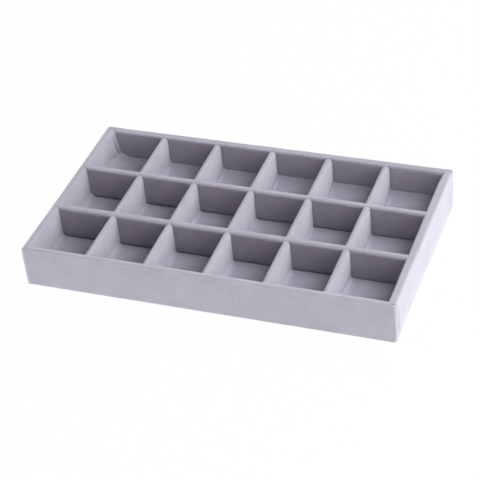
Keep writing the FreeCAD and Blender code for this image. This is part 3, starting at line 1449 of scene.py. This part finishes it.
    def curl_at(self, y: float) -> float:
        """Radius of the curl at the left wall.

        Args:
            y: Place across the tray.

        Returns:
            The radius.
        """
        rows = self.plan.row_spans()
        row = self.span_at(rows, y)
        if row is None:
            return self.pinned_curl
        radius = self.left_curl[row]
        share = max(1 - (rows[-1][1] - y) / self.corner_reach, 0.0)
        return radius + (self.corner_curl - radius) * share**2

    def sheet_piece(self) -> bpy.types.Object:
        """The velvet floor sheet.

        Returns:
            The finished piece.
        """
        p = self.plan
        right, back = p.inner_half_length - self.clearance, p.inner_half_depth - self.clearance
        left, front = -right, -back
        turns = even(math.pi / 2, 0, self.curl_steps)
        places = self.stations(p.column_spans(), left, right)
        flat_x = [x for x in places if x > left + self.corner_curl + self.pinch]
        lines: list[list[Vector]] = []
        painted_shading: list[float] = []
        for y in self.stations(p.row_spans(), front, back):
            radius = self.curl_at(y)
            # Each place along the line, and how far it has risen in the curl.
            run = [(left + radius * (1 - math.sin(turn)), 1 - math.cos(turn)) for turn in turns]
            run.extend((x, 0.0) for x in even(left + radius, flat_x[0], self.bridge_steps)[1:])
            run.extend((x, 0.0) for x in flat_x[1:])
            line: list[Vector] = []
            for x, curled in run:
                place = Vector((x, y, p.floor_top + curled * radius))
                place.z += self.rise_at(x, y) * (1 - curled)
                place.z += self.ripple_depth * ripple(place, self.ripple_width)
                line.append(place)
                painted_shading.append(self.painted_shading_at(x, y) * (1 - curled))
            lines.append(line)
        made = cloth("floor_cloth", lines, painted_shading, p.velvet)
        dress(made, "floor_velvet", self.velvet)
        flat = (right - left + max(self.left_curl) / 2, back - front + max(self.back_rise) / 2)
        return made

    def foam_piece(self) -> bpy.types.Object:
        """The foam sheet, with softened edges.

        Returns:
            The finished piece.
        """
        low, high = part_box("floor_foam")
        shape = bmesh.new()
        bmesh.ops.create_cube(shape, size=1)
        for vert in shape.verts:
            vert.co = Vector(b if c > 0 else a for c, a, b in zip(vert.co, low, high))
        soft = (high.z - low.z) * self.foam_softness
        bmesh.ops.bevel(shape, geom=shape.edges[:], offset=soft, segments=3, affect="EDGES", profile=0.5)
        made = mesh_object("floor_pad", [], [])
        shape.to_mesh(made.data)
        shape.free()
        bake_modifiers(made)
        dress(made, "floor_foam", self.foam)
        return made

    def build(self) -> None:
        """Makes the sheet and the foam."""
        self.sheet_piece()
        self.foam_piece()


@dataclass
class SleeveTree:
    """The geometry tree of a sleeve along X: a grid folded over a half-round top edge, with slots cut out.

    Attributes:
        sizes: Names of the inputs that are lengths, levels and shares.
        counts: Names of the inputs that are numbers of lines and slots.
        sway_scale: Sideways waves of a sleeve per metre.
        lift_scale: Upward waves of a sleeve per metre.
        on_line: Share of the step between lines within which a point counts as on a line.
        weld: Distance within which points are joined.
        tree: The tree.
        t: The tree's nodes.
        given: The tree's inputs.
    """

    sizes: tuple[str, ...] = (
        *("Length", "Half Width", "Bottom", "Top", "Hem Radius", "Lift", "Left Lift", "Waviness", "Seed"),
        *("Slot Pitch", "First Slot", "Slot Half Width", "Slot Level", "Mate Shoulder", "Line Step"),
        *("Rim Level", "Rim Radius", "Foot Shade Height", "Base Shade", "Side Shade", "Side Shade Width"),
    )
    counts: tuple[str, ...] = ("Slot Count", "Lines Along", "Lines Round")
    sway_scale: float = 22.0
    lift_scale: float = 55.0
    on_line: float = 0.1
    weld: float = 0.01 * MM
    tree: bpy.types.NodeTree = field(init=False)
    t: NodeTree = field(init=False)
    given: dict[str, Signal] = field(init=False)

    def __post_init__(self) -> None:
        """Adds the tree with its inputs, and builds it."""
        self.tree = bpy.data.node_groups.new("divider_sleeve", "GeometryNodeTree")
        kinds = {"Float": self.sizes, "Int": self.counts, "Bool": ("Slots Above",), "Material": ("Velvet",)}
        for kind, names in kinds.items():
            for name in names:
                self.tree.interface.new_socket(name, in_out="INPUT", socket_type=f"NodeSocket{kind}")
        self.tree.interface.new_socket("Geometry", in_out="OUTPUT", socket_type="NodeSocketGeometry")
        self.t = NodeTree(self.tree)
        self.given = self.t.given()
        self.build()

    def build(self) -> None:
        """Folds the sleeve, cuts its slots, fits its ends, and gives it its painted shade and its velvet."""
        mesh = self.folded()
        mesh = self.after("DeleteGeometry", mesh, {"Selection": self.in_slot()}, domain="FACE")
        mesh = self.fitted(mesh)
        mesh = self.wandering(mesh)
        mesh = self.over_rim(mesh)
        mesh = self.after("MergeByDistance", mesh, {"Distance": self.weld})
        # Painted shade at the sleeve's foot, beside its crossings and all over where given.
        painted_shade = {"Name": PAINTED_SHADING, "Value": self.painted_shade()}
        mesh = self.after("StoreNamedAttribute", mesh, painted_shade, data_type="FLOAT", domain="POINT")
        mesh = self.after("RealizeInstances", mesh, {})
        mesh = self.after("SetMaterial", mesh, {"Material": self.given["Velvet"]})
        self.t.add("NodeGroupOutput", {"Geometry": mesh})

    def after(self, kind: str, mesh: Signal, inputs: Inputs, **settings: object) -> Signal:
        """The mesh after one more node of a kind, with that node's other inputs and its settings."""
        return self.t.out(f"GeometryNode{kind}", inputs={"Geometry": mesh, **inputs}, **settings)

    def here(self) -> list[Signal]:
        """A point's place along X, Y and Z."""
        parts = self.t.add("ShaderNodeSeparateXYZ", {0: self.t.out("GeometryNodeInputPosition")})
        return [Signal(self.t, socket) for socket in parts.outputs]

    def pushed(self, mesh: Signal, x: object = 0.0, y: object = 0.0, z: object = 0.0) -> Signal:
        """The mesh with its points moved by a distance along X, Y and Z."""
        offset = self.t.out("ShaderNodeCombineXYZ", inputs={"X": x, "Y": y, "Z": z})
        return self.after("SetPosition", mesh, {"Offset": offset})

    @staticmethod
    def chord(radius: Signal, rise: Signal) -> Signal:
        """How far a round edge still reaches at a rise over its centre."""
        return (radius * radius - rise * rise).math("MAXIMUM", 0.0).math("SQRT")

    def to_slot(self, along: Signal) -> Signal:
        """Signed distance along X from the nearest crossing.

        Args:
            along: Place along X.

        Returns:
            The distance.
        """
        pitch = self.given["Slot Pitch"]
        shifted = along - self.given["First Slot"]
        number = (shifted / pitch).math("ROUND").within(0.0, self.given["Slot Count"] - 1.0)
        return shifted - number * pitch

    def snapped(self, along: Signal) -> Signal:
        """Moves grid lines so that two of them lie on the edges of each slot.

        Args:
            along: Even places along X.

        Returns:
            The moved places.
        """
        off = self.to_slot(along)
        size = off.math("ABSOLUTE")
        edge, step = self.given["Slot Half Width"], self.given["Line Step"]
        near = (edge / step).math("ROUND") * step
        far = self.given["Slot Pitch"] * 0.5
        inside = size * edge / near
        outside = edge + (size - near) * ((far - edge) / (far - near))
        moved = inside + size.math("GREATER_THAN", near) * (outside - inside)
        return along + (moved - size) * off.math("SIGN")

    def folded(self) -> Signal:
        """The sleeve without its slots, tucked in along both hems and closed at both ends.

        Returns:
            The mesh.
        """
        given = self.given
        steps = given["Lines Along"] - 1.0
        sizes = {
            "Size X": steps * given["Line Step"],
            "Size Y": 1.0,
            "Vertices X": given["Lines Along"],
            "Vertices Y": given["Lines Round"],
        }
        grid = self.t.out("GeometryNodeMeshGrid", "Mesh", sizes)
        x, y, _ = self.here()
        half = given["Length"] * 0.5
        along = self.snapped(x).within(half * -1.0, half)
        # The last two lines lie at the end of the sleeve, and the very last one closes it.
        lines_to_end = steps * 0.5 - x.math("ABSOLUTE") / given["Line Step"]
        at_end = lines_to_end.math("LESS_THAN", 1.5)
        at_cap = lines_to_end.math("LESS_THAN", 0.5)
        along = along + at_end * (half * x.math("SIGN") - along)

        radius, hem = given["Half Width"], given["Hem Radius"]
        hem_run = hem * (math.pi / 2)
        side = given["Top"] - radius - given["Bottom"] - hem + hem_run
        girth = side * 2.0 + radius * math.pi
        run = (y + 0.5) * girth
        turn = ((run - side) / radius).within(0.0, math.pi)
        climb = run.math("MINIMUM", girth - run).math("MINIMUM", side)
        tuck = climb.math("MINIMUM", hem_run) / hem
        reach = hem * (1.0 - tuck.math("SINE")) - radius
        across = turn.math("COSINE") * reach * (1.0 - at_cap)
        up = hem * (1.0 - tuck.math("COSINE")) + (climb - hem_run).math("MAXIMUM", 0.0)
        up = up + turn.math("SINE") * radius + given["Bottom"]
        place = self.t.out("ShaderNodeCombineXYZ", inputs={"X": along, "Y": across, "Z": up})
        return self.after("SetPosition", grid, {"Position": place})

    def in_slot(self) -> Signal:
        """True on the faces that a crossing divider passes through.

        Returns:
            The selection.
        """
        x, _, z = self.here()
        within = self.to_slot(x).math("ABSOLUTE").math("LESS_THAN", self.given["Slot Half Width"])
        above = z.math("GREATER_THAN", self.given["Slot Level"])
        wrong = (above - self.given["Slots Above"]).math("ABSOLUTE")
        return (within - wrong).math("GREATER_THAN", 0.5)

    def fitted(self, mesh: Signal) -> Signal:
        """Brings the cut ends against the rounded top of a crossing sleeve.

        Args:
            mesh: The sleeve.

        Returns:
            The moved mesh.
        """
        given = self.given
        x, _, z = self.here()
        off = self.to_slot(x)
        edge = given["Slot Half Width"]
        past = (off.math("ABSOLUTE") - edge).math("ABSOLUTE")
        at_cut = past.math("LESS_THAN", given["Line Step"] * self.on_line)
        above = (z - given["Mate Shoulder"]).math("MAXIMUM", 0.0)
        shift = (self.chord(edge, above) - edge) * off.math("SIGN")
        return self.pushed(mesh, x=shift * (at_cut * given["Slots Above"]))

    def wandering(self, mesh: Signal) -> Signal:
        """Keeps the sleeve from being machine-straight, and lifts it.

        Args:
            mesh: The sleeve.

        Returns:
            The moved mesh.
        """
        t, given = self.t, self.given
        seed = t.out("ShaderNodeCombineXYZ", inputs={"Y": given["Seed"]})
        moved = {0: t.out("GeometryNodeInputPosition"), 1: seed}
        where = t.out("ShaderNodeVectorMath", inputs=moved, operation="ADD")
        sway = t.noise(where, self.sway_scale, detail=1.0) - 0.5
        wave = t.noise(where, self.lift_scale, detail=1.0) - 0.5
        x, _, z = self.here()
        to_left = 0.5 - x / given["Length"]
        height = (z - given["Bottom"]) / (given["Top"] - given["Bottom"])
        raised_or_painted_light = (to_left * given["Left Lift"] + given["Lift"]) * height
        return self.pushed(mesh, y=sway * given["Waviness"], z=raised_or_painted_light + wave * given["Waviness"])

    def over_rim(self, mesh: Signal) -> Signal:
        """Lays the sleeve's two ends over the rounded inner edges of the rim.

        Args:
            mesh: The sleeve.

        Returns:
            The moved mesh.
        """
        given = self.given
        x, _, z = self.here()
        radius = given["Rim Radius"]
        to_end = given["Length"] * 0.5 - x.math("ABSOLUTE")
        at_end = to_end.math("LESS_THAN", given["Line Step"] * self.on_line)
        level = z.math("MINIMUM", given["Rim Level"])
        rise = (level - (given["Rim Level"] - radius)).math("MAXIMUM", 0.0)
        reach = radius - self.chord(radius, rise)
        return self.pushed(mesh, x=at_end * (reach * x.math("SIGN")), z=at_end * (level - z))

    def painted_shade(self) -> Signal:
        """How far the pile is crushed at the foot of the sleeve and on the right of its crossings.

        Returns:
            0 for none to 1 for full painted shade.
        """
        given = self.given
        x, _, z = self.here()
        foot = ((z - given["Bottom"]) / given["Foot Shade Height"]).bell()
        past = self.to_slot(x) - given["Slot Half Width"]
        upright = z.math("LESS_THAN", given["Top"] - given["Half Width"])
        beside = (past / given["Side Shade Width"]).bell() * upright * given["Side Shade"]
        return foot.math("MAXIMUM", beside).math("MAXIMUM", given["Base Shade"])


@dataclass
class DividerSleeves:
    """The velvet sleeves of the dividers, grown by one geometry tree.

    Pairs of values are for the dividers along the tray and for those across it. Values for each divider
    along the tray start from the front one, those for each divider across it from the left one.

    Attributes:
        plan: The tray's measures.
        material: The velvet.
        press: How far crossing sleeves press into each other's pile.
        hem_radii: Rounding where the velvet tucks in under the dividers.
        end_radii: Rounding of the rim that the ends of the dividers lie over.
        foot_shade_heights: Height of the painted shade at the foot of the dividers.
        left_lifts: How much higher the left ends of the dividers stand.
        side_shades: Painted shade on the right of a crossing.
        side_shade_width: Width of that line.
        lifts: How much higher each divider along the tray stands.
        back_leans: How far each of them stands to the back.
        base_shades: Painted shade all over each of them.
        front_shifts: How far the front end of each divider across the tray stands to the right.
        back_shifts: The same for its back end.
        lines_per_half_pitch: Number of grid lines in half the distance between crossings.
        girth_lines: Number of grid lines round a sleeve.
        waviness: How far the sleeve wanders from a true line.
        seed_scale: Factor on a divider's place that sets its own waves.
        tree: The geometry tree.
    """

    plan: TrayPlan
    material: bpy.types.Material
    press: float = 0.3 * MM
    hem_radii: Span = (1.2 * MM, 0.4 * MM)
    end_radii: Span = (3.0 * MM, 4.0 * MM)
    foot_shade_heights: Span = (1.5 * MM, 0.3 * MM)
    left_lifts: Span = (1.2 * MM, 0.0)
    side_shades: Span = (0.5, 0.0)
    side_shade_width: float = 1.2 * MM
    lifts: tuple[float, ...] = (0.5 * MM, 0.0)
    back_leans: tuple[float, ...] = (0.5 * MM, 0.0)
    base_shades: tuple[float, ...] = (0.15, 0.0)
    front_shifts: tuple[float, ...] = (0.65 * MM, 0.5 * MM, 0.65 * MM, 0.65 * MM, -0.2 * MM)
    back_shifts: tuple[float, ...] = (0.3 * MM, -0.6 * MM, -0.4 * MM, -0.5 * MM, -0.6 * MM)
    lines_per_half_pitch: int = 21
    girth_lines: int = 62
    waviness: float = 0.25 * MM
    seed_scale: float = 10.0
    tree: bpy.types.NodeTree = field(init=False)

    def __post_init__(self) -> None:
        """Builds the geometry tree once for all sleeves."""
        self.tree = SleeveTree().tree

    def sleeve(
        self,
        name: str,
        box: Box,
        mates: list[Box],
        across: bool,
        shifts: Span,
        lift: float = 0.0,
        base_shade: float = 0.0,
    ) -> bpy.types.Object:
        """One divider's sleeve.

        Args:
            name: Start of its node's name.
            box: Its lowest and highest corners.
            mates: Boxes of the dividers that cross it.
            across: True for a divider across the tray, which is slotted from above.
            shifts: How far its front and back ends stand to the right, or its left and right ends to
                the back.
            lift: How much higher it stands.
            base_shade: Painted shade all over it.

        Returns:
            The finished piece.
        """
        low, high = box
        kind = int(across)
        run, side = (1, 0) if across else (0, 1)
        centres = [(a[run] + b[run]) / 2 for a, b in mates]
        mate_low, mate_high = mates[0]
        mate_half = (mate_high[run] - mate_low[run]) / 2
        pitch = centres[1] - centres[0]
        length = high[run] - low[run]
        step = pitch / 2 / self.lines_per_half_pitch
        half_lines = math.ceil(length / 2 / step)
        values = {
            "Length": length,
            "Half Width": (high[side] - low[side]) / 2,
            "Bottom": low.z,
            "Top": high.z,
            "Slot Pitch": pitch,
            "First Slot": centres[0],
            "Slot Count": len(centres),
            "Slot Half Width": mate_half - self.press,
            "Slot Level": self.plan.half_lap,
            "Slots Above": across,
            "Mate Shoulder": mate_high.z - mate_half,
            "Hem Radius": self.hem_radii[kind],
            "Left Lift": self.left_lifts[kind],
            "Lift": lift,
            "Rim Level": self.plan.height,
            "Rim Radius": self.end_radii[kind],
            "Lines Along": 2 * (half_lines + 1) + 1,
            "Lines Round": self.girth_lines,
            "Line Step": step,
            "Waviness": self.waviness,
            "Seed": low[side] * self.seed_scale,
            "Foot Shade Height": self.foot_shade_heights[kind],
            "Base Shade": base_shade,
            "Side Shade": self.side_shades[kind],
            "Side Shade Width": self.side_shade_width,
            "Velvet": self.material,
        }
        made = mesh_object(f"{name}_sleeve", [], [])
        grow = made.modifiers.new("sleeve", "NODES")
        grow.node_group = self.tree
        for item in self.tree.interface.items_tree:
            if item.in_out == "INPUT":
                grow[item.identifier] = values[item.name]
        thicken(made, self.plan.velvet)
        bake_modifiers(made)
        place = Vector((0, 0, 0))
        place[side] = (low[side] + high[side] + shifts[0] + shifts[1]) / 2
        turned = Matrix.Rotation(math.pi / 2 if across else 0, 4, "Z")
        skewed = Matrix.Identity(4)
        skewed[side][run] = (shifts[1] - shifts[0]) / length
        made.data.transform(Matrix.Translation(place) @ skewed @ turned)
        dress(made, f"{name}_velvet")
        girth = 2 * (high.z - low.z) + (math.pi - 2) * values["Half Width"]
        return made

    def build(self) -> None:
        """Makes every sleeve."""
        longs, crosses = self.plan.long_boxes, self.plan.cross_boxes
        settings = zip(self.back_leans, self.lifts, self.base_shades)
        for number, (box, (lean, lift, painted_shade)) in enumerate(zip(longs, settings), 1):
            self.sleeve(f"long_divider_{number}", box, crosses, False, (lean, lean), lift, painted_shade)
        shifts = zip(self.front_shifts, self.back_shifts)
        for number, (box, pair) in enumerate(zip(crosses, shifts), 1):
            self.sleeve(f"cross_divider_{number}", box, longs, True, pair)


@dataclass(frozen=True)
class Boards:
    """The rigid pieces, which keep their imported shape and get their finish.

    Attributes:
        fibreboard: Finish of the walls and the base.
        divider_board: Finish of the boards inside the dividers.
        card: Finish of the card underneath.
    """

    fibreboard: BoardFinish = BoardFinish(
        "fibreboard", (0.42, 0.29, 0.18), fleck_scale=900.0, fleck_depth=0.25, bump=0.08 * MM
    )
    divider_board: BoardFinish = BoardFinish(
        "divider_board", (0.36, 0.34, 0.32), fleck_scale=1400.0, fleck_depth=0.15, bump=0.05 * MM
    )
    card: BoardFinish = BoardFinish(
        "underside_card",
        (0.12, 0.12, 0.13),
        fleck_scale=2200.0,
        fleck_depth=0.30,
        bump=0.1 * MM,
        roughness=0.95,
    )

    def build(self) -> None:
        """Gives each rigid node its finish."""
        fibreboard, divider_board = self.fibreboard.material(), self.divider_board.material()
        finishes = {"underside_card": self.card.material()}
        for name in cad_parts:
            if name.endswith("board"):
                finishes[name] = divider_board if "divider" in name else fibreboard
        for name, material in finishes.items():
            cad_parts[name].material_slots[0].material = material
            LOG.info("%s keeps its shape", name)


@dataclass(frozen=True)
class Softbox:
    """A large soft lamp that faces the tray.

    Attributes:
        name: Its name.
        azimuth: Degrees round the tray; 0 is in front, 90 on the right.
        elevation: Degrees above the table.
        distance: How far away it stands.
        width: Its width.
        tall: Its height.
        level: Light on a surface that faces it; at 1 a colour shows as written.
        colour: Colour of its light.
    """

    name: str
    azimuth: float
    elevation: float
    distance: float
    width: float
    tall: float
    level: float
    colour: Colour = (1.0, 1.0, 1.0)

    def build(self) -> None:
        """Places the lamp."""
        lamp = bpy.data.lights.new(self.name, "AREA")
        lamp.shape = "RECTANGLE"
        lamp.size = self.width
        lamp.size_y = self.tall
        lamp.energy = math.pi**2 * self.distance**2 * self.level
        lamp.color = self.colour
        made = placed(self.name, lamp)
        away = direction(self.azimuth, self.elevation)
        made.location = away * self.distance
        made.rotation_euler = away.to_track_quat("Z", "Y").to_euler()


@dataclass(frozen=True)
class Studio:
    """The camera, the pale floor and the light.

    Attributes:
        plan: The tray's measures.
        azimuth: Camera's degrees round the tray.
        elevation: Camera's degrees above the table.
        roll: Camera's tilt about its own axis, in degrees.
        distance: Camera's distance.
        right: Camera's shift to its right.
        up: Camera's shift upwards.
        focal_pixels: Focal length in pixels of the image.
        image_pixels: Width of the image.
        sensor: Sensor width in millimetres.
        floor_size: Side of the floor.
        floor_lap: How far the floor reaches under the tray; it is open below the middle.
        floor_colour: The floor's own colour, linear.
        floor_white: Share of plain white in the floor as the camera sees it.
        ambient: Level of the light from all round.
        lamps: The lamps.
    """

    plan: TrayPlan
    azimuth: float = 23.417
    elevation: float = 37.24
    roll: float = -6.387
    distance: float = 1.57459
    right: float = -0.003155
    up: float = 0.003209
    focal_pixels: float = 1689.5
    image_pixels: int = 480
    sensor: float = 36.0
    floor_size: float = 12.0
    floor_lap: float = 2.0 * MM
    floor_colour: Colour = (0.85, 0.85, 0.85)
    floor_white: float = 0.98
    ambient: float = 0.08
    # Each lamp's azimuth, elevation, distance, width, height and level.
    lamps: tuple[Softbox, ...] = (
        Softbox("right_key", 98, 24, 4.2, 2.7, 1.8, 0.305),
        Softbox("low_right", 93, 3, 1.4, 1.2, 0.10, 0.088),
        Softbox("high_right", 98, 52, 1.4, 0.9, 0.7, 0.62),
        Softbox("left_fill", 275, 33, 3.2, 2.4, 1.6, 0.33),
        Softbox("back_fill", 185, 36, 3.0, 2.2, 1.4, 0.31),
        Softbox("front_fill", 40, 18, 2.2, 1.6, 0.9, 0.21),
        Softbox("low_front", -14, 3, 1.4, 1.2, 0.10, 0.575, (0.968, 1.0, 1.0)),
        Softbox("under_fill", 20, -55, 1.4, 1.0, 0.8, 0.5),
    )

    def camera(self) -> None:
        """Stands the camera where the picture was taken from."""
        data = bpy.data.cameras.new("camera")
        data.sensor_width = self.sensor
        data.lens = self.sensor * self.focal_pixels / self.image_pixels
        made = placed("camera", data)
        back = direction(self.azimuth, self.elevation)
        side = Vector((0, 0, 1)).cross(back).normalized()
        turn = Matrix.Rotation(math.radians(self.roll), 3, back)
        right, up = turn @ side, turn @ back.cross(side)
        place = back * self.distance + right * self.right + up * self.up
        pose = Matrix((right, up, back)).transposed().to_4x4()
        made.matrix_world = Matrix.Translation(place) @ pose
        bpy.context.scene.camera = made

    def floor(self) -> None:
        """Lays the floor, nearly white to the camera but with the tray's shadow, and clear from below."""
        half = Vector((self.floor_size, self.floor_size, 0)) / 2
        hole = Vector((self.plan.length / 2 - self.floor_lap, self.plan.depth / 2 - self.floor_lap, 0))
        signs = ((-1, -1), (1, -1), (1, 1), (-1, 1))
        corners = [Vector((x * reach.x, y * reach.y, 0)) for reach in (half, hole) for x, y in signs]
        faces = [(c, (c + 1) % 4, (c + 1) % 4 + 4, c + 4) for c in range(4)]
        made = mesh_object("floor", corners, faces)
        material, t, shader = new_material("pale_floor")
        material.node_tree.nodes.remove(shader)
        seen = {
            0: self.background_rays(t) * self.floor_white,
            1: t.out("ShaderNodeBsdfDiffuse", inputs={"Color": (*self.floor_colour, 1)}),
            2: t.out("ShaderNodeEmission"),
        }
        one_sided = {
            0: t.out("ShaderNodeNewGeometry", "Backfacing"),
            1: t.out("ShaderNodeMixShader", inputs=seen),
            2: t.out("ShaderNodeBsdfTransparent"),
        }
        surface = t.out("ShaderNodeMixShader", inputs=one_sided)
        t.fill(material.node_tree.nodes["Material Output"], {"Surface": surface})
        made.data.materials.append(material)
        made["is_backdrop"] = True

    @staticmethod
    def background_rays(t: NodeTree) -> Signal:
        """True for rays that look at the background, straight, in gloss or through glass."""
        camera, gloss, glass = (
            t.out("ShaderNodeLightPath", f"Is {kind} Ray") for kind in ("Camera", "Glossy", "Transmission")
        )
        return camera.math("MAXIMUM", gloss).math("MAXIMUM", glass)

    def world(self) -> None:
        """White behind the tray, and a little light from all round."""
        world = bpy.data.worlds.new("studio")
        world.use_nodes = True
        bpy.context.scene.world = world
        t = NodeTree(world.node_tree)
        level = self.background_rays(t).math("MAXIMUM", self.ambient)
        t.fill(world.node_tree.nodes["Background"], {"Color": (1, 1, 1, 1), "Strength": level})

    def build(self) -> None:
        """Sets up the whole studio."""
        self.camera()
        self.floor()
        self.world()
        for lamp in self.lamps:
            lamp.build()
        bpy.context.scene.view_settings.view_transform = "Standard"


def main() -> None:
    """Builds the tray's looks in order."""
    logging.basicConfig(level=logging.INFO, format="%(name)s: %(message)s")
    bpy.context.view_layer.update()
    plan = TrayPlan.from_frame()
    velvet = VelvetFinish("grey_velvet").material(pile_group())
    padding = BoardFinish("foam", (0.72, 0.72, 0.70), fleck_scale=1600.0, fleck_depth=0.12, bump=0.2 * MM)
    foam = padding.material()
    Studio(plan).build()
    Boards().build()
    WallVelvet(plan, velvet).build()
    FloorLining(plan, velvet, foam).build()
    DividerSleeves(plan, velvet).build()


if __name__ == "__main__":
    main()
